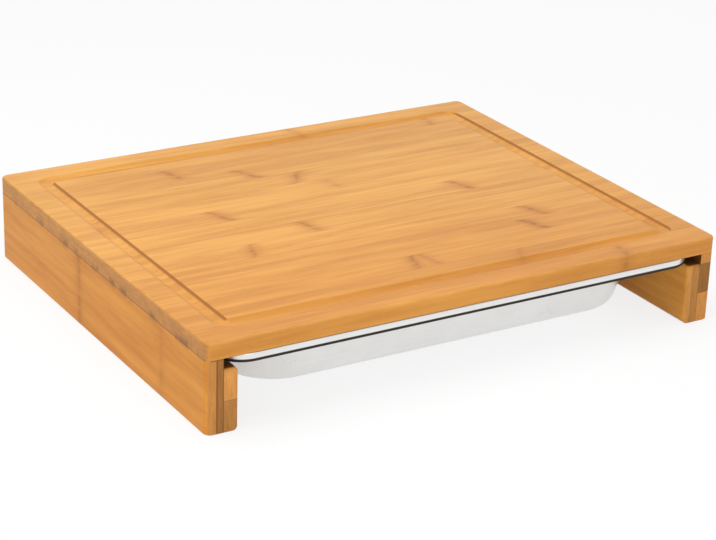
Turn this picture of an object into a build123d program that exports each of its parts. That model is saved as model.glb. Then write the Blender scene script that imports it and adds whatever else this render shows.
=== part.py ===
"""Bamboo cutting board on two side legs, with a pressed steel tray that slides in from the front.

Millimetres. +X is to the right, +Y to the back, +Z up. The origin is on the table, under the
middle of the board. The board is glued up from staves that run left to right. Each leg is a side
panel with a rail glued to its inner face. The rail stops short of the board, and the gap over it
is the slot that carries the rim of the tray.
"""
from build123d import *
from math import cos, radians, sin
import os

# Board
BOARD_WIDTH = 380.0
BOARD_DEPTH = 314.0
BOARD_THICKNESS = 11.0
BOARD_CORNER_RADIUS = 5.0
BOARD_EDGE_RADIUS = 1.5
STAVE_WIDTH = 21.0

# Juice groove: a cove that runs round the top, inside the edges
GROOVE_INSET = 23.0
GROOVE_WIDTH = 11.0
GROOVE_DEPTH = 3.0
GROOVE_TURN_RADIUS = 6.5

# Legs
LEG_HEIGHT = 49.0
SIDE_THICKNESS = 11.5
SIDE_OUTER_PLY = 7.0
RAIL_THICKNESS = 10.0
RAIL_INNER_PLY = 4.5
RAIL_ROUNDING = 3.5
SLOT_HEIGHT = 7.0
FOOT_EDGE_EASE = 0.8

# Rear stop bar
BAR_THICKNESS = 12.0
BAR_HEIGHT = 30.0
BAR_EDGE_RADIUS = 1.5

# Fluted dowels, glued into blind holes across each joint
DOWEL_DIAMETER = 6.0
DOWEL_FLUTES = 12
GLUE_GAP = 0.05
BOARD_DOWELS_PER_LEG = 3
BOARD_DOWEL_LENGTH = 24.0
BOARD_DOWEL_GRIP = 6.0
RAIL_DOWEL_LENGTH = 15.0
RAIL_DOWEL_GRIP = 6.5
RAIL_DOWEL_BELOW_TOP = 12.0
BAR_DOWEL_LENGTH = 26.0
BAR_DOWEL_GRIP = 18.0

# Tray
SHEET_THICKNESS = 0.8
RIM_SIDE_GAP = 2.0
RIM_FRONT_SETBACK = 1.3
RIM_REAR_GAP = 1.0
RIM_SEAT_GAP = 0.3
RIM_HEAD_GAP = 0.6
RIM_WIDTH = 16.5
RIM_CORNER_RADIUS = 20.0
RIM_EDGE_EASE = 0.8
MOUTH_CORNER_RADIUS = 50.0
MOUTH_EDGE_EASE = 0.8
PAN_DEPTH = 39.3
PAN_DRAFT = 17.0
PAN_FLOOR_RADIUS = 7.0

# Heights and faces that several pieces share
BOARD_TOP = LEG_HEIGHT + BOARD_THICKNESS
RAIL_TOP = LEG_HEIGHT - SLOT_HEIGHT
FRONT = -BOARD_DEPTH / 2
BACK = BOARD_DEPTH / 2
SIDE_OUTER_X = BOARD_WIDTH / 2
SIDE_INNER_X = SIDE_OUTER_X - SIDE_THICKNESS
RAIL_INNER_X = SIDE_INNER_X - RAIL_THICKNESS
BAR_FRONT = BACK - BAR_THICKNESS
RIM_TOP = LEG_HEIGHT - RIM_HEAD_GAP
RIM_DROP = RIM_TOP - RAIL_TOP - RIM_SEAT_GAP

LEFT = -1
RIGHT = 1


def block(x0, x1, y0, y1, z0, z1):
    """A box between two opposite corners."""
    middle = ((x0 + x1) / 2, (y0 + y1) / 2, (z0 + z1) / 2)
    return Pos(*middle) * Box(abs(x1 - x0), y1 - y0, z1 - z0)


def spread(count, low, high):
    """Evenly spaced places from one end to the other."""
    return [low + (high - low) * (i + 0.5) / count for i in range(count)]


def save(node, solids):
    """Write one piece, or one group of like pieces, under its own name."""
    shape = solids[0] if len(solids) == 1 else Compound(children=solids)
    shape.label = node
    export_step(shape, f"parts/{node}.step")


# Dowels and their holes


def dowel(radius, length):
    """An upright dowel, with a flat side for each flute."""
    return extrude(RegularPolygon(radius, DOWEL_FLUTES), length / 2, both=True)


def upright_dowels(hand, radius):
    """Dowels that stand in a side panel and reach up into the board."""
    x = hand * (SIDE_OUTER_X - SIDE_THICKNESS / 2)
    z = LEG_HEIGHT + BOARD_DOWEL_GRIP - BOARD_DOWEL_LENGTH / 2
    return [Pos(x, y, z) * dowel(radius, BOARD_DOWEL_LENGTH) for y in spread(BOARD_DOWELS_PER_LEG, FRONT, BACK)]


def cross_dowels(hand, radius):
    """Dowels that lie across a rail and its side panel, half way between the upright ones."""
    x = hand * (SIDE_INNER_X - RAIL_DOWEL_GRIP + RAIL_DOWEL_LENGTH / 2)
    upright = spread(BOARD_DOWELS_PER_LEG, FRONT, BACK)
    places = [(a + b) / 2 for a, b in zip(upright, upright[1:])]
    lying = Rot(0, 90, 0) * dowel(radius, RAIL_DOWEL_LENGTH)
    return [Pos(x, y, RAIL_TOP - RAIL_DOWEL_BELOW_TOP) * lying for y in places]


def bar_dowels(hand, radius):
    """The dowel that pins one end of the rear bar to its side panel."""
    x = hand * (SIDE_INNER_X - BAR_DOWEL_GRIP + BAR_DOWEL_LENGTH / 2)
    lying = Rot(0, 90, 0) * dowel(radius, BAR_DOWEL_LENGTH)
    return [Pos(x, (BAR_FRONT + BACK) / 2, LEG_HEIGHT - BAR_HEIGHT / 2) * lying]


def dowel_holes():
    """Every dowel hole, a glue line wider than its dowel."""
    radius = DOWEL_DIAMETER / 2 + GLUE_GAP
    holes = []
    for hand in (LEFT, RIGHT):
        holes += upright_dowels(hand, radius) + cross_dowels(hand, radius) + bar_dowels(hand, radius)
    return holes


# Board


def groove_cutter():
    """The cove of the juice groove, swept round a loop with rounded turns."""
    length = BOARD_WIDTH - 2 * GROOVE_INSET
    width = BOARD_DEPTH - 2 * GROOVE_INSET
    loop = Pos(0, 0, BOARD_TOP) * RectangleRounded(length, width, GROOVE_TURN_RADIUS)
    across = Plane(origin=(0, -width / 2, BOARD_TOP), x_dir=(0, 1, 0), z_dir=(1, 0, 0))
    half = GROOVE_WIDTH / 2
    cove = ThreePointArc((-half, 0), (0, -GROOVE_DEPTH), (half, 0))
    lid = Polyline((half, 0), (half, GROOVE_DEPTH), (-half, GROOVE_DEPTH), (-half, 0))
    return sweep(across * make_face(cove + lid), path=loop.face().outer_wire())


def board_blank():
    """The glued board: rounded corners, eased top edges and the groove."""
    plan = Pos(0, 0, LEG_HEIGHT) * RectangleRounded(BOARD_WIDTH, BOARD_DEPTH, BOARD_CORNER_RADIUS)
    blank = extrude(plan, BOARD_THICKNESS)
    blank = fillet(blank.faces().sort_by(Axis.Z)[-1].edges(), BOARD_EDGE_RADIUS)
    return blank - groove_cutter()


def board_staves(holes):
    """Staves of equal width from front to back, each with its share of edge and groove."""
    count = max(1, round(BOARD_DEPTH / STAVE_WIDTH))
    width = BOARD_DEPTH / count
    blank = board_blank() - holes
    staves = []
    for i in range(count):
        y0 = FRONT + i * width
        staves.append((blank & block(-BOARD_WIDTH, BOARD_WIDTH, y0, y0 + width, 0, 2 * BOARD_TOP)).solid())
    return staves


# Legs


def side_blank():
    """The right side panel: flush with the board all round, its lower outer edges eased."""
    panel = block(SIDE_INNER_X, SIDE_OUTER_X, FRONT, BACK, 0, LEG_HEIGHT)
    panel = fillet(panel.edges().filter_by(Axis.Z).group_by(Axis.X)[-1], BOARD_CORNER_RADIUS)
    foot_edges = panel.edges().group_by(Axis.Z)[0].sort_by(Axis.X)[1:]
    return chamfer(foot_edges, FOOT_EDGE_EASE)


def rail_blank():
    """The right rail: it carries the rim, and its inner edges and upper front edge are rounded."""
    rail = block(RAIL_INNER_X, SIDE_INNER_X, FRONT, BAR_FRONT, 0, RAIL_TOP)
    rail = fillet(rail.edges().filter_by(Axis.Y).group_by(Axis.X)[0], RAIL_ROUNDING)
    front_top = rail.edges().group_by(Axis.Y)[0].group_by(Axis.Z)[-1]
    return fillet(front_top, RAIL_ROUNDING)


def left(blank):
    """The left-hand twin of a right-hand piece."""
    return mirror(blank, about=Plane.YZ)


def plies(blank, hand, split_x):
    """The outer and the inner of two upright plies that meet at a distance from the middle."""
    outer = blank & block(hand * split_x, hand * BOARD_WIDTH, FRONT, BACK, -BOARD_TOP, BOARD_TOP)
    inner = blank & block(0, hand * split_x, FRONT, BACK, -BOARD_TOP, BOARD_TOP)
    return outer.solid(), inner.solid()


def layers(blank, heights):
    """Staves laid one on the other, parted at the given heights."""
    return [(blank & block(-BOARD_WIDTH, BOARD_WIDTH, FRONT, BACK, low, high)).solid()
            for low, high in zip(heights, heights[1:])]


def rear_bar(holes):
    """The bar between the side panels that stops the tray, with its lower edges eased."""
    bar = block(-SIDE_INNER_X, SIDE_INNER_X, BAR_FRONT, BACK, LEG_HEIGHT - BAR_HEIGHT, LEG_HEIGHT)
    bar = fillet(bar.edges().filter_by(Axis.X).group_by(Axis.Z)[0], BAR_EDGE_RADIUS)
    return (bar - holes).solid()


# Tray


def rim_plan(inset):
    """The outline of the rim, drawn in evenly, centred between the front and the stop bar."""
    y0 = FRONT + RIM_FRONT_SETBACK
    y1 = BAR_FRONT - RIM_REAR_GAP
    width = 2 * (SIDE_INNER_X - RIM_SIDE_GAP - inset)
    return Pos(0, (y0 + y1) / 2) * RectangleRounded(width, y1 - y0 - 2 * inset, RIM_CORNER_RADIUS - inset)


def mouth_plan(growth):
    """The outline of the pan's mouth inside the rim, let out evenly."""
    rim = rim_plan(0).bounding_box()
    width = rim.size.X - 2 * (RIM_WIDTH - growth)
    depth = rim.size.Y - 2 * (RIM_WIDTH - growth)
    return Pos(0, rim.center().Y) * RectangleRounded(width, depth, MOUTH_CORNER_RADIUS + growth)


def pressed_form(drop):
    """All that lies under the tray's upper face, or under a face that runs `drop` below it."""
    top = RIM_TOP - drop
    base = RIM_TOP - 2 * PAN_DEPTH
    form = Pos(0, 0, base) * extrude(rim_plan(drop), top - base)
    slope = radians(PAN_DRAFT)
    growth = drop * (1 - sin(slope)) / cos(slope)
    pan = Pos(0, 0, top) * extrude(mouth_plan(growth), -PAN_DEPTH, taper=PAN_DRAFT)
    return form - fillet(pan.faces().sort_by(Axis.Z)[0].edges(), PAN_FLOOR_RADIUS + drop)


def tray():
    """One pressed sheet: flat rim with a turned-down lip, and a drawn pan with sloping walls."""
    upper = pressed_form(0)
    rim = upper.faces().filter_by(Axis.Z).sort_by(Axis.Z)[-1]
    upper = chamfer(rim.outer_wire().edges(), RIM_EDGE_EASE)
    mouth = upper.faces().filter_by(Axis.Z).sort_by(Axis.Z)[-1].inner_wires()[0]
    upper = chamfer(mouth.edges(), MOUTH_EDGE_EASE)
    sheet = upper - pressed_form(SHEET_THICKNESS)
    skirt_height = 2 * PAN_DEPTH - RIM_DROP
    skirt = extrude(rim_plan(-RIM_WIDTH), skirt_height) - extrude(rim_plan(RIM_WIDTH / 2), skirt_height)
    return (sheet - Pos(0, 0, RIM_TOP - 2 * PAN_DEPTH) * skirt).solid()


def main():
    os.makedirs("parts", exist_ok=True)
    holes = dowel_holes()
    for number, stave in enumerate(board_staves(holes), 1):
        save(f"top_stave_{number:02d}", [stave])

    side = side_blank()
    rail = rail_blank()
    rail_heights = [0, RAIL_TOP / 2, RAIL_TOP]
    left_outer, left_inner = plies(left(side) - holes, LEFT, SIDE_OUTER_X - SIDE_OUTER_PLY)
    save("left_side_outer_ply", [left_outer])
    save("left_side_inner_ply", [left_inner])
    for name, stave in zip(("lower", "upper"), layers(left(rail) - holes, rail_heights)):
        save(f"left_rail_{name}_stave", [stave])
    side_layers = layers(side - holes, rail_heights + [LEG_HEIGHT])
    for name, stave in zip(("lower", "middle", "upper"), side_layers):
        save(f"right_side_{name}_stave", [stave])
    right_outer, right_inner = plies(rail - holes, RIGHT, RAIL_INNER_X + RAIL_INNER_PLY)
    save("right_rail_outer_ply", [right_outer])
    save("right_rail_inner_ply", [right_inner])
    save("rear_stop_bar", [rear_bar(holes)])

    radius = DOWEL_DIAMETER / 2
    for side_name, hand in (("left", LEFT), ("right", RIGHT)):
        save(f"{side_name}_board_dowels", upright_dowels(hand, radius))
        save(f"{side_name}_rail_dowels", cross_dowels(hand, radius))
        save(f"{side_name}_bar_dowel", bar_dowels(hand, radius))
    save("tray", [tray()])


main()
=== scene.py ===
"""The looks of the bamboo cutting board with its steel drawer tray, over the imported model.

Shapes are worked out in millimetres, in the model's own frame: +X right, +Y back, +Z up, and the
origin on the table under the middle of the board.
"""
from math import cos, radians, sin, tan

import bpy
import numpy as np
from mathutils import Matrix, Vector


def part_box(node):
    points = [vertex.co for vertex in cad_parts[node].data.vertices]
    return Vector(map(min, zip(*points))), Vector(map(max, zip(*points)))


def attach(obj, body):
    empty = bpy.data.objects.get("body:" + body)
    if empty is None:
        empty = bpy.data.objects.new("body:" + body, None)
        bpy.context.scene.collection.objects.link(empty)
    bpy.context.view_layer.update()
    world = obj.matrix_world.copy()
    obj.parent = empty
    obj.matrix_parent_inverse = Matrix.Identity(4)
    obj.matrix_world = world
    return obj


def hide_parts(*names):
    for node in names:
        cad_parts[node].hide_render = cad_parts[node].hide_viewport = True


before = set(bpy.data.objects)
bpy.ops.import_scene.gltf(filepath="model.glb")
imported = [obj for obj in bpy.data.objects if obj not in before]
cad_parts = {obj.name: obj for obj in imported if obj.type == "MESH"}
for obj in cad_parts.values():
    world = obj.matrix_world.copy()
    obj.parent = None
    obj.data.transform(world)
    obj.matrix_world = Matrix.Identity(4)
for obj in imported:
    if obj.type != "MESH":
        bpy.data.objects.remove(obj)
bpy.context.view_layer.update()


# ---- Board -----------------------------------------------------------------------------------
# The chopping board is fifteen bamboo staves, glued edge to edge and sanded flush. Its corners and
# its top edge are rounded over, and a cove cut round the top catches the juice. The fibres run from
# left to right, and each stave has its own tone and its own node rings, where the culm had a joint.

MM = 0.001
STAVES = 15
CORNER_RADIUS = 5.0
TOP_EDGE_RADIUS = 1.5
GROOVE_INSET = 23.0
GROOVE_WIDTH = 11.0
GROOVE_DEPTH = 2.4
GROOVE_TURN_RADIUS = 6.5
GROOVE_LIP_SOFTNESS = 0.35

board_low = np.array(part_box("top_stave_01")[0]) / MM
board_high = np.array(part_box(f"top_stave_{STAVES:02d}")[1]) / MM
HALF_WIDTH = board_high[0]
HALF_DEPTH = board_high[1]
BOARD_TOP = board_high[2]
BOARD_BOTTOM = board_low[2]
SLOT_FLOOR = float(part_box("left_rail_upper_stave")[1][2]) / MM
SLOT_WALL = float(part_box("rear_stop_bar")[1][0]) / MM


def cuts(low, high, *zones):
    """Where a face is cut between low and high: its ends, and evenly through every zone, given as
    (start, stop, step), as far as that lies between the ends."""
    places = [np.array([low, high])]
    for start, stop, step in zones:
        places.append(np.linspace(start, stop, max(2, round((stop - start) / step) + 1)))
    places = np.concatenate(places)
    return np.unique(np.round(places[(places >= low) & (places <= high)], 4))


def block_surface(xs, ys, zs):
    """The closed surface of a block. Each of its six faces is a grid on which two coordinates run
    over their cuts and the third stays at its first or last cut. Shared points are merged."""
    lines = (xs, ys, zs)
    points = []
    faces = []
    count = 0
    for axis in range(3):
        u = (axis + 1) % 3
        v = (axis + 2) % 3
        for last in (False, True):
            grid = np.empty((len(lines[u]), len(lines[v]), 3))
            grid[..., u], grid[..., v] = np.meshgrid(lines[u], lines[v], indexing="ij")
            grid[..., axis] = lines[axis][-1 if last else 0]
            number = count + np.arange(grid[..., 0].size).reshape(grid.shape[:2])
            corners = [number[:-1, :-1], number[1:, :-1], number[1:, 1:], number[:-1, 1:]]
            quads = np.stack(corners, -1).reshape(-1, 4)
            faces.append(quads if last else quads[:, ::-1])
            points.append(grid.reshape(-1, 3))
            count += grid[..., 0].size
    points = np.concatenate(points)
    _, first, same = np.unique(np.round(points, 5), axis=0, return_index=True, return_inverse=True)
    return points[first], same.reshape(-1)[np.concatenate(faces)]


def round_off(a, b):
    """Draws a square corner in to a quarter circle. A point (a, b), measured outwards from the arc's
    centre, keeps its direction, and the larger of the two becomes its distance."""
    corner = (a > 0) & (b > 0)
    distance = np.where(corner, np.hypot(a, b), 1.0)
    scale = np.where(corner, np.maximum(a, b) / distance, 1.0)
    return a * scale, b * scale


def round_corners(x, y, half_x, half_y, radius):
    """Rounds the four upright corners of a block that is centred on the origin."""
    out_x = np.maximum(np.abs(x) - (half_x - radius), 0)
    out_y = np.maximum(np.abs(y) - (half_y - radius), 0)
    new_x, new_y = round_off(out_x, out_y)
    return x - np.sign(x) * (out_x - new_x), y - np.sign(y) * (out_y - new_y)


def inside_outline(x, y, half_x, half_y, radius):
    """How far a point lies inside a rounded rectangle, and the direction out: the radius less the
    distance from the rectangle through the corners' centres, or plus it where that is outside."""
    qx = np.abs(x) - (half_x - radius)
    qy = np.abs(y) - (half_y - radius)
    corner = (qx > 0) & (qy > 0)
    length = np.where(corner, np.hypot(qx, qy), 1.0)
    inside = radius - np.where(corner, length, np.maximum(qx, qy))
    out_x = np.where(corner, qx / length, np.where(qx > qy, 1.0, 0.0)) * np.sign(x)
    out_y = np.where(corner, qy / length, np.where(qx > qy, 0.0, 1.0)) * np.sign(y)
    return inside, out_x, out_y


def round_rim(points, level, upward, radius):
    """Rounds the edge where the stand's outline meets a level face: the distance inside the outline
    and the distance short of the face are drawn in together to an arc."""
    inside, out_x, out_y = inside_outline(points[:, 0], points[:, 1], HALF_WIDTH, HALF_DEPTH, CORNER_RADIUS)
    a = np.maximum(radius - inside, 0)
    b = np.maximum(radius - upward * (level - points[:, 2]), 0)
    new_a, new_b = round_off(a, b)
    moved = points.copy()
    moved[:, 0] -= out_x * (a - new_a)
    moved[:, 1] -= out_y * (a - new_a)
    moved[:, 2] -= upward * (b - new_b)
    return moved


def groove_depth(x, y):
    """The cove below the top. Across its loop it is the arc through both lips and the deepest point,
    and the lips are eased by taking a hyperbola round the corner between arc and flat."""
    half = GROOVE_WIDTH / 2
    arc = (half ** 2 + GROOVE_DEPTH ** 2) / (2 * GROOVE_DEPTH)
    inside, _, _ = inside_outline(x, y, HALF_WIDTH - GROOVE_INSET, HALF_DEPTH - GROOVE_INSET, GROOVE_TURN_RADIUS)
    away = np.abs(inside)
    steepness = half / (arc - GROOVE_DEPTH)
    cove = np.where(away < half, np.sqrt(np.maximum(arc ** 2 - away ** 2, 0)) - (arc - GROOVE_DEPTH),
                    -steepness * (away - half))
    return (cove + np.sqrt(cove ** 2 + GROOVE_LIP_SOFTNESS ** 2)) / 2 * np.clip((half + 1.5 - away) / 1.0, 0, 1)


def make_piece(name, points, faces, material, body, slot, *nodes):
    """Puts a surface into the scene in place of its solids. It is smooth except along its edges."""
    mesh = bpy.data.meshes.new(name)
    mesh.from_pydata((points * MM).tolist(), [], faces if isinstance(faces, list) else faces.tolist())
    mesh.shade_smooth()
    mesh.set_sharp_from_angle(angle=radians(32))
    mesh.materials.append(material)
    piece = bpy.data.objects.new(name, mesh)
    bpy.context.scene.collection.objects.link(piece)
    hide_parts(*nodes)
    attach(piece, body)
    return piece


class Signal:
    """One output of a material's nodes, which varies over the surface. Arithmetic on it adds the Math
    nodes that work it out, and node() adds any other kind."""

    def __init__(self, socket):
        self.socket = socket

    def node(self, kind, settings, sockets, output=0):
        """A new node: first its settings, then a value or a link for each of its sockets."""
        tree = self.socket.id_data
        made = tree.nodes.new(kind)
        for setting, value in settings.items():
            setattr(made, setting, value)
        for key, value in sockets.items():
            if isinstance(value, Signal):
                tree.links.new(value.socket, made.inputs[key])
            else:
                made.inputs[key].default_value = value
        return Signal(made.outputs[output])

    def math(self, operation, *values):
        return self.node("ShaderNodeMath", {"operation": operation}, dict(enumerate(values)))

    def __add__(self, other):
        return self.math("ADD", self, other)

    def __sub__(self, other):
        return self.math("SUBTRACT", self, other)

    def __mul__(self, other):
        return self.math("MULTIPLY", self, other)

    def __truediv__(self, other):
        return self.math("DIVIDE", self, other)

    def __radd__(self, other):
        return self.math("ADD", other, self)

    def __rsub__(self, other):
        return self.math("SUBTRACT", other, self)

    def __rmul__(self, other):
        return self.math("MULTIPLY", other, self)

    def __rtruediv__(self, other):
        return self.math("DIVIDE", other, self)

    def __neg__(self):
        return self.math("MULTIPLY", self, -1.0)

    def __abs__(self):
        return self.math("ABSOLUTE", self)

    def least(self, other):
        return self.math("MINIMUM", self, other)

    def most(self, other):
        return self.math("MAXIMUM", self, other)

    def hump(self, width):
        """1 where this is nought, falling off on both sides as a bell curve of that width."""
        scaled = self / width
        return (-(scaled * scaled)).math("EXPONENT", -(scaled * scaled))

    def rise(self, start, stop):
        """0 up to start and 1 from stop on, with a smooth step between, or the other way round."""
        return self.node("ShaderNodeMapRange", {"interpolation_type": "SMOOTHSTEP"},
                         {"Value": self, "From Min": start, "From Max": stop})

    def blend(self, first, second):
        """The first colour where this is 0, the second where it is 1."""
        return self.node("ShaderNodeMix", {"data_type": "RGBA"}, {0: self, 6: first, 7: second}, 2)


def streaks(place, lengths, seed, detail=2.0):
    """Noise between 0 and 1, in patches as long as given on each axis, in millimetres."""
    x, y, z = place
    at = x.node("ShaderNodeCombineXYZ", {}, {0: x / lengths[0] + seed, 1: y / lengths[1], 2: z / lengths[2]})
    return at.node("ShaderNodeTexNoise", {}, {"Vector": at, "Scale": 1.0, "Detail": detail, "Roughness": 0.55})


def box_edges(place, low, high, reach):
    """1 along the edges of a box and 0 further from them than the reach: at an edge, two of the three
    distances to the nearest face are small."""
    near = []
    for value, start, stop in zip(place, low, high):
        near.append((value - start).least(stop - value).rise(reach, reach * 0.15))
    return (near[0] * near[1]).most(near[1] * near[2]).most(near[2] * near[0])


BAMBOO_LIGHT = (0.81, 0.405, 0.086)
BAMBOO_DARK = (0.63, 0.270, 0.044)
RING_BROWN = (0.34, 0.125, 0.026)
RING_HAZE = (0.56, 0.205, 0.034)
PORE_BROWN = (0.42, 0.165, 0.035)
END_GRAIN = (0.60, 0.272, 0.072)
END_BUNDLE = (0.24, 0.105, 0.040)
GLUE_STAIN = (0.27, 0.105, 0.032)
GLUE_LINE = (0.20, 0.080, 0.026)
GROOVE_WALL_SHADE = (0.34, 0.120, 0.022)
LIT_GROOVE_WALL = (0.93, 0.50, 0.13)
SLOT_SHADE = (0.085, 0.030, 0.010)
WORN_EDGE = (0.93, 0.60, 0.26)


def tinted(colour, tone, warmth=0.0):
    """A colour made lighter or darker, and redder by taking out some of its green and blue, in the
    form that a colour socket takes."""
    red, green, blue = colour
    made = (red, green * (1.0 - warmth * 0.4), blue * (1.0 - warmth))
    return tuple(min(part * tone, 1.0) for part in made) + (1.0,)


def bamboo(name, node, grain, tone, warmth, rings, seed, gloss, joint, end_tone=1.0):
    """Planed and oiled bamboo. Tonal bands, fibres and short pores run along the grain axis. At each
    node ring, given as (place, reach, strength), a thin line crosses them in a brown haze and the
    fibres swerve: its distance along the grain grows as the tangent of that across, so that both
    ends trail off along the fibres. A cut end shows its strips and the fibre bundles as dots, and the
    groove's walls across the fibres are darker; on top of that, painted shade darkens its walls facing
    left, and a little those facing front, and painted light brightens those facing back. Glue has
    stained the joint under the board, and the slot is painted in shade."""
    low = np.array(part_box(node)[0]) / MM
    high = np.array(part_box(node)[1]) / MM
    material = bpy.data.materials.new(name)
    material.use_nodes = True
    nodes = material.node_tree.nodes
    shader = nodes["Principled BSDF"]
    coordinates = nodes.new("ShaderNodeTexCoord")
    metres = Signal(coordinates.outputs["Object"])
    place = [metres.node("ShaderNodeSeparateXYZ", {}, {0: metres}, axis) * 1000.0 for axis in range(3)]
    across = [axis for axis in range(3) if axis != grain]
    along = place[grain]
    side = place[across[0]]

    def fibre(long, wide, offset, detail=2.0):
        lengths = [wide] * 3
        lengths[grain] = long
        return streaks(place, lengths, seed + offset, detail)

    wobble = (fibre(45.0, 4.0, 3.7) - 0.5) * 3.5
    patchy = fibre(26.0, 3.6, 5.3).rise(0.36, 0.60)
    half_side = float((high - low)[across[0]] / 2)
    middle_side = float((high + low)[across[0]] / 2)
    bend = ((side - middle_side) * (1.15 / half_side)).math("TANGENT", (side - middle_side) * (1.15 / half_side))
    ring = None
    haze = None
    for at, reach, strength in rings:
        away = along - bend * (reach / tan(1.15)) - wobble - at
        line = (away.hump(1.5) * 0.55 + away.hump(4.2) * 0.45) * (patchy * 0.8 + 0.2) * strength
        cloud = away.hump(8.0) * strength
        ring = line if ring is None else ring.most(line)
        haze = cloud if haze is None else haze.most(cloud)
    swerve = (fibre(9.0, 7.0, 2.2) - 0.5) * haze * 4.0
    place[across[0]] = side + swerve

    bands = fibre(120.0, 8.0, 0.0)
    stripes = fibre(38.0, 3.4, 11.0, 2.0)
    threads = fibre(26.0, 0.55, 17.0, 3.0)
    pores = fibre(6.5, 0.42, 23.0, 1.0).rise(0.62, 0.72) * bands.rise(0.62, 0.40)
    place[across[0]] = side
    light = bands * 1.45 + stripes * 0.75 + threads * 0.22 - 0.72
    colour = light.rise(0.0, 1.0).blend(tinted(BAMBOO_DARK, tone, warmth), tinted(BAMBOO_LIGHT, tone, warmth))
    colour = (pores * 0.32).blend(colour, tinted(PORE_BROWN, tone))
    rough = stripes * 0.12 + pores * 0.15 + 0.34
    height = threads * 0.5 + stripes * 0.3 - pores * 0.7
    colour = (haze * (stripes * 0.8 + 0.12)).blend(colour, tinted(RING_HAZE, tone))
    colour = (ring * 0.72).blend(colour, tinted(RING_BROWN, tone))
    rough = rough + ring * 0.12
    height = height - ring * 0.6

    facing = Signal(coordinates.outputs["Normal"])
    end = abs(facing.node("ShaderNodeSeparateXYZ", {}, {0: facing}, grain)).rise(0.55, 0.85)
    lengths = [0.75] * 3
    lengths[grain] = 40.0
    x, y, z = (value / length for value, length in zip(place, lengths))
    at = x.node("ShaderNodeCombineXYZ", {}, {0: x, 1: y, 2: z})
    cell = at.node("ShaderNodeTexVoronoi", {}, {"Vector": at, "Scale": 1.0})
    dots = cell.rise(0.50, 0.22) * fibre(40.0, 4.5, 31.0).rise(0.30, 0.62)
    lengths = (40.0, 9.0, 2.6) if grain == 0 else (1.6, 40.0, 15.0)
    strips = streaks(place, lengths, seed + 37.0, 3.0).rise(0.30, 0.70)
    at_back = place[1].rise(-20.0, 20.0)
    darker, lighter = (at_back.blend(tinted(END_GRAIN, end_tone * share, warmth * 0.3), tinted(END_GRAIN, share))
                       for share in (0.88, 1.08))
    cut = strips.node("ShaderNodeMix", {"data_type": "RGBA"}, {0: strips, 6: darker, 7: lighter}, 2)
    cut = (dots * 0.28).blend(cut, tinted(END_BUNDLE, min(end_tone, 1.0)))
    colour = end.blend(colour, cut)
    outside = abs(place[0]).rise(HALF_WIDTH - 0.4, HALF_WIDTH - 0.1)
    drawn_in = streaks(place, (30.0, 17.0, 30.0), 51.0).rise(0.50, 0.62)
    drawn_in = drawn_in * (place[2] - float(BOARD_BOTTOM + 0.9)).hump(2.6)
    colour = (outside * drawn_in * 0.75).blend(colour, tinted(GLUE_STAIN, 1.0))
    in_groove = place[2].rise(BOARD_TOP, BOARD_TOP - 0.3) * place[2].rise(BOARD_BOTTOM + 1.0, BOARD_BOTTOM + 2.0)
    in_groove = in_groove * abs(place[0]).rise(HALF_WIDTH - 10.0, HALF_WIDTH - 12.0)
    in_groove = in_groove * abs(place[1]).rise(HALF_DEPTH - 10.0, HALF_DEPTH - 12.0)
    slant_x, slant_y = (facing.node("ShaderNodeSeparateXYZ", {}, {0: facing}, axis) for axis in range(2))
    # Painted light: the groove's walls facing back are made lighter.
    colour = (in_groove * slant_y.rise(0.1, 0.5) * 0.35).blend(colour, tinted(LIT_GROOVE_WALL, tone))
    # Painted shade: the groove's walls facing left are made much darker, and those facing front a little.
    groove_wall_shade = (slant_x.rise(-0.42, -0.58) * 0.9).most(slant_y.rise(-0.1, -0.5) * 0.13)
    colour = (in_groove * groove_wall_shade).blend(colour, tinted(GROOVE_WALL_SHADE, 1.0))
    rough = rough + end * 0.18
    height = height - end * dots * 0.6

    joint_width, joint_share = joint
    if low[2] < 1.0:
        low[2] = -10.0
    glued_edge = box_edges(place, low.tolist(), high.tolist(), joint_width)
    colour = (glued_edge * joint_share).blend(colour, tinted(GLUE_LINE, 1.0))
    # Painted shade: inside the slot, from the rails' tops up to the board's underside and between the panels, the wood
    # is painted nearly black.
    slot_shade = place[2].rise(SLOT_FLOOR - 0.9, SLOT_FLOOR - 0.2) * place[2].rise(BOARD_BOTTOM + 0.2, BOARD_BOTTOM)
    slot_shade = slot_shade * abs(place[0]).rise(SLOT_WALL + 0.3, SLOT_WALL + 0.1)
    colour = (slot_shade * 0.9).blend(colour, tinted(SLOT_SHADE, 1.0))
    worn = box_edges(place, (-HALF_WIDTH, -HALF_DEPTH, 0.0), (HALF_WIDTH, HALF_DEPTH, BOARD_TOP), 3.0)
    worn = worn * fibre(14.0, 9.0, 41.0).rise(0.25, 0.75)
    colour = (worn * 0.14).blend(colour, tinted(WORN_EDGE, tone))
    rough = rough + worn * 0.08

    bump = height.node("ShaderNodeBump", {}, {"Strength": 0.5, "Distance": 0.00012, "Height": height}, "Normal")
    links = material.node_tree.links
    links.new(colour.socket, shader.inputs["Base Color"])
    links.new(rough.socket, shader.inputs["Roughness"])
    links.new(bump.socket, shader.inputs["Normal"])
    shader.inputs["Specular IOR Level"].default_value = gloss
    return material


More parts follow.
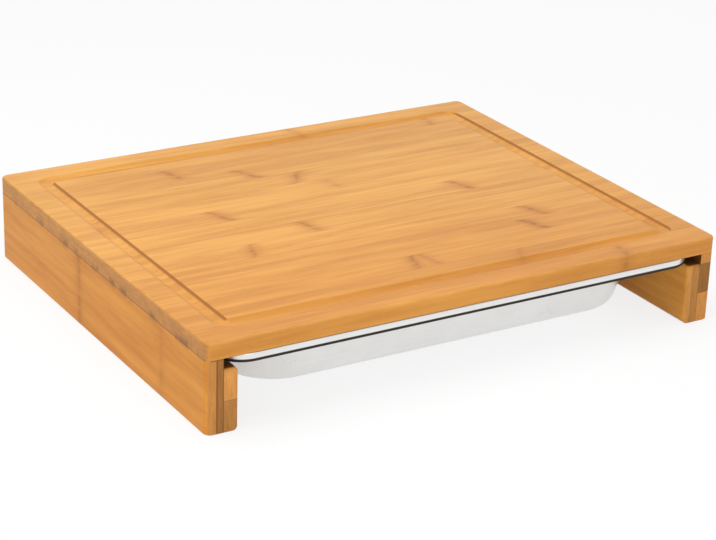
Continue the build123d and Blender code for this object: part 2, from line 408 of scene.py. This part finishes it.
# Node rings on each stave, counted from the front: (place along the stave, reach, strength).
STAVE_RINGS = {
    1: [(119.0, 3.0, 0.7)],
    2: [(54.0, 7.0, 0.35)],
    3: [(-14.0, 4.0, 0.9), (-3.0, -3.0, 0.6)],
    4: [(93.0, -6.0, 1.0)],
    5: [(108.0, -7.0, 0.95)],
    6: [(-98.0, 4.0, 0.75)],
    7: [(-44.0, -5.0, 0.85)],
    8: [(89.0, -6.0, 1.0)],
    9: [(-89.0, -6.0, 0.95)],
    10: [(10.0, -4.0, 0.4), (-168.0, 4.0, 0.5)],
    11: [(-7.0, 9.0, 0.8)],
    12: [(-35.0, -7.0, 0.95)],
    13: [(-83.0, -4.0, 0.85)],
    14: [(142.0, 4.0, 0.5)],
    15: [(38.0, -4.0, 0.4)],
}
STAVE_TONES = (0.95, 0.92, 0.95, 0.94, 0.97, 1.03, 1.0, 1.02, 1.03, 1.04, 0.99, 1.0, 0.98, 0.99, 1.03)
BOARD_GLOSS = 0.28
# Painted shade: the front staves are made warmer and darker, fading out by the middle of the board.
STAVE_SHADE_WARMTH = (0.27, 0.27, 0.24, 0.22, 0.16, 0.05, 0.06, 0.03, 0.0, 0.02, 0.05, 0.0, 0.07, 0.03, 0.0)

groove_outer = GROOVE_INSET - GROOVE_WIDTH / 2 - 1.2
groove_inner = GROOVE_INSET + GROOVE_WIDTH / 2 + 1.2


def edge_zones(half, edge_step, groove_step):
    """Finer cuts at both ends of a run across the board: for the rounded edge and for the groove."""
    zones = []
    for hand in (-1, 1):
        for start, stop, step in ((0.0, TOP_EDGE_RADIUS, edge_step), (TOP_EDGE_RADIUS, CORNER_RADIUS, 0.5),
                                  (groove_outer, groove_inner, groove_step)):
            ends = sorted((hand * (half - start), hand * (half - stop)))
            zones.append((ends[0], ends[1], step))
    return zones


for number in range(1, STAVES + 1):
    node = f"top_stave_{number:02d}"
    low = np.array(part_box(node)[0]) / MM
    high = np.array(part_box(node)[1]) / MM
    xs = cuts(low[0], high[0], *edge_zones(HALF_WIDTH, 0.25, 0.35))
    ys = cuts(low[1], high[1], *edge_zones(HALF_DEPTH, 0.25, 0.35))
    zs = cuts(low[2], high[2], (BOARD_TOP - TOP_EDGE_RADIUS, BOARD_TOP, 0.25))
    points, faces = block_surface(xs, ys, zs)
    share = (points[:, 2] - low[2]) / (high[2] - low[2])
    points[:, 0], points[:, 1] = round_corners(points[:, 0], points[:, 1], HALF_WIDTH, HALF_DEPTH, CORNER_RADIUS)
    points = round_rim(points, BOARD_TOP, 1, TOP_EDGE_RADIUS)
    points[:, 2] -= groove_depth(points[:, 0], points[:, 1]) * share
    finish = bamboo(f"bamboo_stave_{number:02d}", node, 0, STAVE_TONES[number - 1], STAVE_SHADE_WARMTH[number - 1],
                    STAVE_RINGS[number], 7.3 * number, BOARD_GLOSS, (0.3, 0.3), 0.96)
    make_piece(f"stave_{number:02d}", points, faces, finish, "stand", "board_bamboo", node)


# ---- Side panels -----------------------------------------------------------------------------
# Each leg's outer panel is bamboo with the fibres from front to back, glued and dowelled under the
# board, flush with its edge. The left one is two upright plies and the right one three staves laid
# one on the other. The upright corners follow the board's, and the foot's edge is eased.

FOOT_RADIUS = 0.8
PANEL_WARMTH = 0.36
LEG_GLOSS = 0.12

# Each panel's pieces: node, tone, end tone, joint width and strength, node rings, seed.
PANELS = (
    ("left_side_outer_ply", 0.97, 1.02, (0.9, 0.85), [(26.0, 1.0, 0.6), (-98.0, -1.5, 0.3)], 131.0),
    ("left_side_inner_ply", 0.88, 0.66, (0.9, 0.85), [(-61.0, 1.0, 0.6)], 137.0),
    ("right_side_lower_stave", 0.98, 1.12, (0.5, 0.4), [(70.0, 2.0, 0.6)], 143.0),
    ("right_side_middle_stave", 0.90, 0.56, (0.5, 0.4), [(-38.0, -2.0, 0.7)], 149.0),
    ("right_side_upper_stave", 0.95, 1.10, (0.5, 0.4), [(112.0, 2.0, 0.5)], 157.0),
)

for node, tone, end_tone, joint, rings, seed in PANELS:
    low = np.array(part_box(node)[0]) / MM
    high = np.array(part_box(node)[1]) / MM
    corner_zone = (HALF_WIDTH - CORNER_RADIUS, HALF_WIDTH, 0.4)
    xs = cuts(low[0], high[0], corner_zone, (-HALF_WIDTH, -corner_zone[0], 0.4))
    ys = cuts(low[1], high[1], (-HALF_DEPTH, -HALF_DEPTH + CORNER_RADIUS, 0.4),
              (HALF_DEPTH - CORNER_RADIUS, HALF_DEPTH, 0.4))
    zs = cuts(low[2], high[2], (0.0, FOOT_RADIUS, 0.16), (FOOT_RADIUS, 1.2, 0.4))
    points, faces = block_surface(xs, ys, zs)
    points[:, 0], points[:, 1] = round_corners(points[:, 0], points[:, 1], HALF_WIDTH, HALF_DEPTH, CORNER_RADIUS)
    points = round_rim(points, 0.0, -1, FOOT_RADIUS)
    finish = bamboo(f"bamboo_{node}", node, 1, tone, PANEL_WARMTH, rings, seed, LEG_GLOSS, joint, end_tone)
    make_piece(f"{node}_dressed", points, faces, finish, "stand", "leg_bamboo", node)


# ---- Rails -----------------------------------------------------------------------------------
# A thinner bamboo rail is glued and dowelled inside each panel and stops short of the board, which
# leaves the slot for the tray's rim. The left one is two staves laid one on the other and the right
# one two upright plies. The long inner edges are rounded over, and the front end mostly at the top.

RAIL_ROUNDING = 3.5
RAIL_FRONT_ROUNDING = 2.2
RAIL_FOOT_ROUNDING = 0.8
RAIL_WARMTH = 0.2
rail_top = float(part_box("left_rail_upper_stave")[1][2]) / MM
rail_inner_x = float(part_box("right_rail_inner_ply")[0][0]) / MM

# Each rail's pieces: node, tone, end tone, node rings, seed.
RAILS = (
    ("left_rail_lower_stave", 0.90, 0.84, [(-20.0, 1.5, 0.9)], 163.0),
    ("left_rail_upper_stave", 0.97, 1.22, [(66.0, 1.5, 0.8)], 167.0),
    ("right_rail_outer_ply", 0.93, 0.85, [(-77.0, 1.5, 0.8)], 173.0),
    ("right_rail_inner_ply", 0.97, 1.10, [(18.0, 1.0, 1.0)], 179.0),
)


def round_rail(points):
    """Rounds a rail. Over and under, its inner edge becomes an arc. Then the distance inside that
    outline and the distance from the front are drawn in together to an arc, which is largest over
    the top and smallest at the foot."""
    x, y, z = points.T
    hand = np.sign(x)
    in_x = np.maximum(RAIL_ROUNDING - (np.abs(x) - rail_inner_x), 0)
    in_z = np.maximum(np.abs(z - rail_top / 2) - (rail_top / 2 - RAIL_ROUNDING), 0)
    new_x, new_z = round_off(in_x, in_z)
    x = x + hand * (in_x - new_x)
    z = z - np.sign(z - rail_top / 2) * (in_z - new_z)
    corner = (in_x > 0) & (in_z > 0)
    length = np.where(corner, np.hypot(new_x, new_z), 1.0)
    flat_x = np.abs(x) - rail_inner_x
    flat_z = rail_top / 2 - np.abs(z - rail_top / 2)
    inside = np.where(corner, RAIL_ROUNDING - length, np.minimum(flat_x, flat_z))
    out_x = np.where(corner, new_x / length, np.where(flat_x < flat_z, 1.0, 0.0)) * -hand
    out_z = np.where(corner, new_z / length, np.where(flat_x < flat_z, 0.0, 1.0)) * np.sign(z - rail_top / 2)
    radius = (RAIL_FRONT_ROUNDING + (RAIL_ROUNDING - RAIL_FRONT_ROUNDING) * np.maximum(out_z, 0)
              - (RAIL_FRONT_ROUNDING - RAIL_FOOT_ROUNDING) * np.maximum(-out_z, 0))
    a = np.maximum(radius - inside, 0)
    b = np.maximum(radius - (y + HALF_DEPTH), 0)
    new_a, new_b = round_off(a, b)
    return np.stack([x - out_x * (a - new_a), y + (b - new_b), z - out_z * (a - new_a)], 1)


for node, tone, end_tone, rings, seed in RAILS:
    low = np.array(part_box(node)[0]) / MM
    high = np.array(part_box(node)[1]) / MM
    xs = cuts(low[0], high[0], (rail_inner_x, rail_inner_x + RAIL_ROUNDING, 0.4),
              (-rail_inner_x - RAIL_ROUNDING, -rail_inner_x, 0.4))
    ys = cuts(low[1], high[1], (-HALF_DEPTH, -HALF_DEPTH + RAIL_ROUNDING, 0.4))
    zs = cuts(low[2], high[2], (0.0, RAIL_ROUNDING, 0.4), (rail_top - RAIL_ROUNDING, rail_top, 0.4))
    points, faces = block_surface(xs, ys, zs)
    finish = bamboo(f"bamboo_{node}", node, 1, tone, RAIL_WARMTH, rings, seed, LEG_GLOSS, (0.5, 0.4), end_tone)
    make_piece(f"{node}_dressed", round_rail(points), faces, finish, "stand", "leg_bamboo", node)


# ---- Rear stop bar ---------------------------------------------------------------------------
# One bamboo bar between the side panels closes the back under the board. It is glued up against
# the board and dowelled into both panels, and the tray's rim stops against it.

BAR_RADIUS = 1.5
BAR_WARMTH = 0.2
bar_low = np.array(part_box("rear_stop_bar")[0]) / MM
bar_high = np.array(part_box("rear_stop_bar")[1]) / MM
xs = cuts(bar_low[0], bar_high[0])
ys = cuts(bar_low[1], bar_high[1], (bar_low[1], bar_low[1] + BAR_RADIUS, 0.3),
          (bar_high[1] - BAR_RADIUS, bar_high[1], 0.3))
zs = cuts(bar_low[2], bar_high[2], (bar_low[2], bar_low[2] + BAR_RADIUS, 0.3))
points, faces = block_surface(xs, ys, zs)
bar_middle = (bar_low[1] + bar_high[1]) / 2
out_y = np.maximum(np.abs(points[:, 1] - bar_middle) - (bar_high[1] - bar_middle - BAR_RADIUS), 0)
out_z = np.maximum(bar_low[2] + BAR_RADIUS - points[:, 2], 0)
new_y, new_z = round_off(out_y, out_z)
points[:, 1] -= np.sign(points[:, 1] - bar_middle) * (out_y - new_y)
points[:, 2] += out_z - new_z
finish = bamboo("bamboo_rear_stop_bar", "rear_stop_bar", 0, 0.94, BAR_WARMTH, [(-72.0, 2.0, 0.7), (131.0, -2.0, 0.5)],
                191.0, LEG_GLOSS, (0.5, 0.4))
make_piece("rear_stop_bar_dressed", points, faces, finish, "stand", "leg_bamboo", "rear_stop_bar")


# ---- Dowels ----------------------------------------------------------------------------------
# Fluted beech dowels are glued into blind holes across every joint. The CAD solids have the right
# shape, so they stay, and get the pale wood with its short dark flecks.

BEECH_LIGHT = (0.72, 0.50, 0.32, 1.0)
BEECH_DARK = (0.56, 0.36, 0.21, 1.0)
BEECH_FLECK = (0.36, 0.19, 0.09, 1.0)


def beech(name, grain):
    """Turned beech: soft bands and small dark flecks along the grain."""
    material = bpy.data.materials.new(name)
    material.use_nodes = True
    nodes = material.node_tree.nodes
    shader = nodes["Principled BSDF"]
    metres = Signal(nodes.new("ShaderNodeTexCoord").outputs["Object"])
    place = [metres.node("ShaderNodeSeparateXYZ", {}, {0: metres}, axis) * 1000.0 for axis in range(3)]
    band_lengths = [1.1] * 3
    band_lengths[grain] = 16.0
    fleck_lengths = [0.3] * 3
    fleck_lengths[grain] = 1.6
    bands = streaks(place, band_lengths, 3.0, 3.0)
    flecks = streaks(place, fleck_lengths, 9.0).rise(0.60, 0.70)
    colour = bands.rise(0.3, 0.7).blend(BEECH_DARK, BEECH_LIGHT)
    colour = (flecks * 0.7).blend(colour, BEECH_FLECK)
    rough = bands * 0.2 + 0.5
    height = bands - flecks * 0.5
    bump = height.node("ShaderNodeBump", {}, {"Strength": 0.5, "Distance": 0.0001, "Height": height}, "Normal")
    links = material.node_tree.links
    links.new(colour.socket, shader.inputs["Base Color"])
    links.new(rough.socket, shader.inputs["Roughness"])
    links.new(bump.socket, shader.inputs["Normal"])
    return material


upright_beech = beech("beech_upright", 2)
lying_beech = beech("beech_lying", 0)
for side in ("left", "right"):
    for node, finish in ((f"{side}_board_dowels", upright_beech), (f"{side}_rail_dowels", lying_beech),
                         (f"{side}_bar_dowel", lying_beech)):
        for material_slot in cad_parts[node].material_slots:
            material_slot.material = finish


# ---- Tray ------------------------------------------------------------------------------------
# The drawer tray is pressed from one stainless sheet: a deep pan with sloping walls, a broad flat
# rim that slides on the rails, and a lip turned down round the rim. Its finish is satin, with the
# fine lines of the rolled sheet and faint scratches.

SHEET = 0.8
RIM_CORNER_RADIUS = 20.0
RIM_EDGE_RADIUS = 1.4
RIM_WIDTH = 16.5
RIM_SEAT_GAP = 0.3
MOUTH_CORNER_RADIUS = 50.0
MOUTH_EDGE_RADIUS = 1.6
WALL_SLOPE = radians(17.0)
FLOOR_RADIUS = 7.0
LIP_HEM_RADIUS = 0.3
HEM_SHADE_HEIGHT = 2.1

tray_low = np.array(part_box("tray")[0]) / MM
tray_high = np.array(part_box("tray")[1]) / MM
tray_middle_y = (tray_low[1] + tray_high[1]) / 2
rim_half_x = tray_high[0]
rim_half_y = tray_high[1] - tray_middle_y
rim_top = tray_high[2]
pan_floor = tray_low[2] + SHEET
pan_depth = rim_top - pan_floor
lip_foot = SLOT_FLOOR + RIM_SEAT_GAP


def tray_profile():
    """Half width, half depth, corner radius and height of the sheet's outline from the floor's edge up
    over the rim to its lip and back underneath. Each bend is an arc about its own centre, of the
    upper face's radius, plus or less the sheet for the lower face."""
    turn = np.pi / 2 - WALL_SLOPE
    mouth_reach = MOUTH_EDGE_RADIUS * tan(turn / 2)
    floor_shift = pan_depth * tan(WALL_SLOPE) + FLOOR_RADIUS * tan(turn / 2)

    def from_mouth(growth, height):
        grown = np.asarray(growth)
        return np.stack([rim_half_x - RIM_WIDTH + grown, rim_half_y - RIM_WIDTH + grown,
                         MOUTH_CORNER_RADIUS + grown, height + 0 * grown], 1)

    def from_rim(inset, height):
        drawn = np.asarray(inset)
        return np.stack([rim_half_x - drawn, rim_half_y - drawn, RIM_CORNER_RADIUS - drawn, height + 0 * drawn], 1)

    def face(thickness):
        """One face of the sheet from the floor to the lip, that far below the upper face."""
        bend = np.linspace(np.pi / 2, WALL_SLOPE, 11)
        radius = FLOOR_RADIUS + thickness
        floor_bend = from_mouth(-floor_shift + radius * np.cos(bend), pan_floor + FLOOR_RADIUS - radius * np.sin(bend))
        swing = np.linspace(turn, 0, 8)
        radius = MOUTH_EDGE_RADIUS - thickness
        mouth_bend = from_mouth(mouth_reach - radius * np.sin(swing),
                                rim_top - MOUTH_EDGE_RADIUS + radius * np.cos(swing))
        swing = np.linspace(np.pi / 2, 0, 8)
        radius = RIM_EDGE_RADIUS - thickness
        rim_bend = from_rim(RIM_EDGE_RADIUS - radius * np.cos(swing), rim_top - RIM_EDGE_RADIUS + radius * np.sin(swing))
        share = np.linspace(0, 1, 8)[1:-1, None]
        wall = floor_bend[-1] * (1 - share) + mouth_bend[0] * share
        flat = mouth_bend[-1] * (1 - share) + rim_bend[0] * share
        return np.concatenate([floor_bend, wall, mouth_bend, flat, rim_bend])

    lip = lip_foot
    swing = np.linspace(0, np.pi / 2, 4)
    hem_out = from_rim(LIP_HEM_RADIUS - LIP_HEM_RADIUS * np.cos(swing), lip + LIP_HEM_RADIUS * (1 - np.sin(swing)))
    hem_in = from_rim(SHEET - LIP_HEM_RADIUS + LIP_HEM_RADIUS * np.sin(swing), lip + LIP_HEM_RADIUS * (1 - np.cos(swing)))
    return np.concatenate([face(0.0), hem_out, hem_in, face(SHEET)[::-1]])


def tray_outline(arc_steps, run_steps):
    """Round a rounded rectangle, as three runs of numbers: which way the corner's centre lies across
    and along, from -1 to 1, and the angle at which the point stands off from it."""
    along = np.linspace(1, -1, run_steps, endpoint=False)
    swing = np.linspace(0, np.pi / 2, arc_steps, endpoint=False)
    ones = np.ones(arc_steps)
    level = np.ones(run_steps)
    centre_x = np.concatenate([level, ones, along, -ones, -level, -ones, -along, ones])
    centre_y = np.concatenate([-along, ones, level, ones, along, -ones, -level, -ones])
    angle = np.concatenate([0 * level, swing, level * np.pi / 2, np.pi / 2 + swing, level * np.pi,
                            np.pi + swing, level * 1.5 * np.pi, 1.5 * np.pi + swing])
    return centre_x, centre_y, angle


def tray_surface():
    """The profile carried round the outline. The floor's two faces close on their middle, to which the
    outline shrinks in even steps."""
    profile = tray_profile()
    centre_x, centre_y, angle = tray_outline(22, 30)
    half_x, half_y, radius, height = (profile[:, column, None] for column in range(4))
    x = centre_x * (half_x - radius) + radius * np.cos(angle)
    y = centre_y * (half_y - radius) + radius * np.sin(angle)
    shrink = np.linspace(0, 1, 7)[1:-1, None]
    upper = [shrink * x[0], shrink * y[0], np.full((5, 1), height[0, 0]) + 0 * x[:1]]
    lower = [shrink[::-1] * x[-1], shrink[::-1] * y[-1], np.full((5, 1), height[-1, 0]) + 0 * x[:1]]
    x = np.concatenate([upper[0], x, lower[0]])
    y = np.concatenate([upper[1], y, lower[1]])
    z = np.concatenate([upper[2], height + 0 * angle, lower[2]])
    rows, columns = x.shape
    points = np.stack([x, y + tray_middle_y, z], -1).reshape(-1, 3)
    points = np.concatenate([points, [[0, tray_middle_y, z[0, 0]], [0, tray_middle_y, z[-1, 0]]]])
    number = np.arange(rows * columns).reshape(rows, columns)
    after = np.roll(number, -1, 1)
    quads = np.stack([number[:-1], number[1:], after[1:], after[:-1]], -1).reshape(-1, 4)
    first = np.stack([np.full(columns, rows * columns), number[0], after[0]], -1)
    last = np.stack([np.full(columns, rows * columns + 1), after[-1], number[-1]], -1)
    return points, quads.tolist() + first.tolist() + last.tolist()


def satin_steel():
    """Rolled stainless sheet: fine lines along the tray, a slow mottle, and sparse bright scratches.
    The lowest part of the lip round the rim is painted dark as a shadow line.
    """
    material = bpy.data.materials.new("satin_stainless")
    material.use_nodes = True
    nodes = material.node_tree.nodes
    shader = nodes["Principled BSDF"]
    coordinates = nodes.new("ShaderNodeTexCoord")
    metres = Signal(coordinates.outputs["Object"])
    place = [metres.node("ShaderNodeSeparateXYZ", {}, {0: metres}, axis) * 1000.0 for axis in range(3)]
    rolled = streaks(place, (60.0, 0.5, 0.5), 1.0, 3.0)
    mottle = streaks(place, (22.0, 22.0, 22.0), 5.0, 3.0)
    turned = [place[0] * 0.8 + place[1] * 0.6, place[1] * 0.8 - place[0] * 0.6, place[2]]
    facing = Signal(coordinates.outputs["Normal"])
    level = abs(facing.node("ShaderNodeSeparateXYZ", {}, {0: facing}, 2)).rise(0.8, 0.95)
    scratch = streaks(turned, (28.0, 0.28, 6.0), 13.0, 1.0).rise(0.70, 0.76) * mottle.rise(0.42, 0.6) * level
    tone = rolled * 0.5 + mottle * 0.5
    colour = tone.rise(0.25, 0.75).blend((0.78, 0.775, 0.76, 1.0), (0.86, 0.855, 0.84, 1.0))
    colour = (scratch * 0.4).blend(colour, (0.90, 0.89, 0.88, 1.0))
    # Painted shade: round the rim, the lip's lowest 2.1 mm is painted nearly black as the shadow line under the rim,
    # and made rougher.
    beyond_x = (abs(place[0]) - float(rim_half_x - RIM_CORNER_RADIUS)).most(0.0)
    beyond_y = (abs(place[1] - float(tray_middle_y)) - float(rim_half_y - RIM_CORNER_RADIUS)).most(0.0)
    reach = (beyond_x * beyond_x + beyond_y * beyond_y).math("SQRT", beyond_x * beyond_x + beyond_y * beyond_y)
    outside = reach.rise(RIM_CORNER_RADIUS - 0.6, RIM_CORNER_RADIUS - 0.3)
    hem_shade = outside * place[2].rise(lip_foot + HEM_SHADE_HEIGHT, lip_foot + HEM_SHADE_HEIGHT - 0.3)
    colour = (hem_shade * 0.97).blend(colour, (0.020, 0.011, 0.006, 1.0))
    rough = mottle * 0.10 + rolled * 0.06 + 0.22 - scratch * 0.06 + hem_shade * 0.4
    height = rolled * 0.5 - scratch * 0.3
    bump = height.node("ShaderNodeBump", {}, {"Strength": 0.25, "Distance": 0.00003, "Height": height}, "Normal")
    links = material.node_tree.links
    links.new(colour.socket, shader.inputs["Base Color"])
    links.new(rough.socket, shader.inputs["Roughness"])
    links.new(bump.socket, shader.inputs["Normal"])
    shader.inputs["Metallic"].default_value = 0.7
    return material


points, faces = tray_surface()
make_piece("pressed_tray", points, faces, satin_steel(), "tray", "tray_steel", "tray")


# ---- Studio ----------------------------------------------------------------------------------
# The object stands on a plain pale floor under a white sky, with a broad soft sun, one large lamp
# over its left half and one far out in front. The camera stands where the photograph was taken from.

floor_mesh = bpy.data.meshes.new("floor")
floor_mesh.from_pydata([(-6, -6, 0), (6, -6, 0), (6, 6, 0), (-6, 6, 0)], [], [(0, 1, 2, 3)])
floor = bpy.data.objects.new("floor", floor_mesh)
bpy.context.scene.collection.objects.link(floor)
paper = bpy.data.materials.new("white_paper")
paper.use_nodes = True
paper_nodes = paper.node_tree.nodes
paper_shader = paper_nodes["Principled BSDF"]
paper_shader.inputs["Base Color"].default_value = (0.95, 0.95, 0.95, 1.0)
paper_shader.inputs["Roughness"].default_value = 0.9
paper_shader.inputs["Specular IOR Level"].default_value = 0.0
floor_mesh.materials.append(paper)

SKY_LEVEL = 0.56
BACKGROUND_SHARE = 0.8


def seen_directly(nodes):
    """1 for what the camera, a mirror or glass looks at, and 0 for light that scatters."""
    rays = nodes.new("ShaderNodeLightPath")
    seen = Signal(rays.outputs["Is Camera Ray"]).most(Signal(rays.outputs["Is Glossy Ray"]))
    return seen.most(Signal(rays.outputs["Is Transmission Ray"]))


backlight = paper_nodes.new("ShaderNodeEmission")
backlight.inputs["Strength"].default_value = 1.0
whitened = paper_nodes.new("ShaderNodeMixShader")
paper_links = paper.node_tree.links
paper_links.new((seen_directly(paper_nodes) * BACKGROUND_SHARE).socket, whitened.inputs[0])
paper_links.new(paper_shader.outputs[0], whitened.inputs[1])
paper_links.new(backlight.outputs[0], whitened.inputs[2])
paper_links.new(whitened.outputs[0], paper_nodes["Material Output"].inputs["Surface"])

world = bpy.data.worlds.new("white_sky")
bpy.context.scene.world = world
world.use_nodes = True
world_nodes = world.node_tree.nodes
sky = world_nodes["Background"]
sky.inputs["Color"].default_value = (1.0, 1.0, 1.0, 1.0)
sky_strength = seen_directly(world_nodes) * (1.0 - SKY_LEVEL) + SKY_LEVEL
world.node_tree.links.new(sky_strength.socket, sky.inputs["Strength"])

sun_data = bpy.data.lights.new("soft_sun", "SUN")
sun_data.energy = 0.38
sun_data.angle = radians(70)
sun = bpy.data.objects.new("soft_sun", sun_data)
sun.rotation_euler = (radians(-12), radians(-4), 0)
bpy.context.scene.collection.objects.link(sun)


def soft_lamp(name, place, aim, size, power):
    """A round lamp of that size in metres at a place, turned towards another."""
    data = bpy.data.lights.new(name, "AREA")
    data.shape = "DISK"
    data.size = size
    data.energy = power
    made = bpy.data.objects.new(name, data)
    made.location = place
    made.rotation_euler = (Vector(aim) - Vector(place)).to_track_quat("-Z", "Y").to_euler()
    bpy.context.scene.collection.objects.link(made)


soft_lamp("top_lamp", (-0.36, -0.05, 0.95), (-0.17, -0.04, 0.05), 0.9, 4.6)
soft_lamp("front_lamp", (-0.3, -2.0, 0.9), (0.0, 0.0, 0.03), 1.4, 7.0)

azimuth, elevation, roll = (radians(angle) for angle in (31.482, 22.926, 1.921))
forward = np.array([sin(azimuth) * cos(elevation), cos(azimuth) * cos(elevation), -sin(elevation)])
right = np.array([cos(azimuth), -sin(azimuth), 0.0])
up = np.cross(right, forward)
camera_right = cos(roll) * right + sin(roll) * up
camera_up = cos(roll) * up - sin(roll) * right
axes = np.eye(4)
axes[:3, :3] = np.stack([camera_right, camera_up, -forward], 1)
axes[:3, 3] = (-0.72368, -1.19428, 0.60296)
camera_data = bpy.data.cameras.new("camera")
camera_data.sensor_width = 36.0
camera_data.lens = 36.0 * 2203.76 / 716
camera_data.clip_start = 0.05
camera_data.clip_end = 50.0
camera = bpy.data.objects.new("camera", camera_data)
camera.matrix_world = Matrix(axes.tolist())
bpy.context.scene.collection.objects.link(camera)
bpy.context.scene.camera = camera
bpy.context.scene.view_settings.view_transform = "Standard"
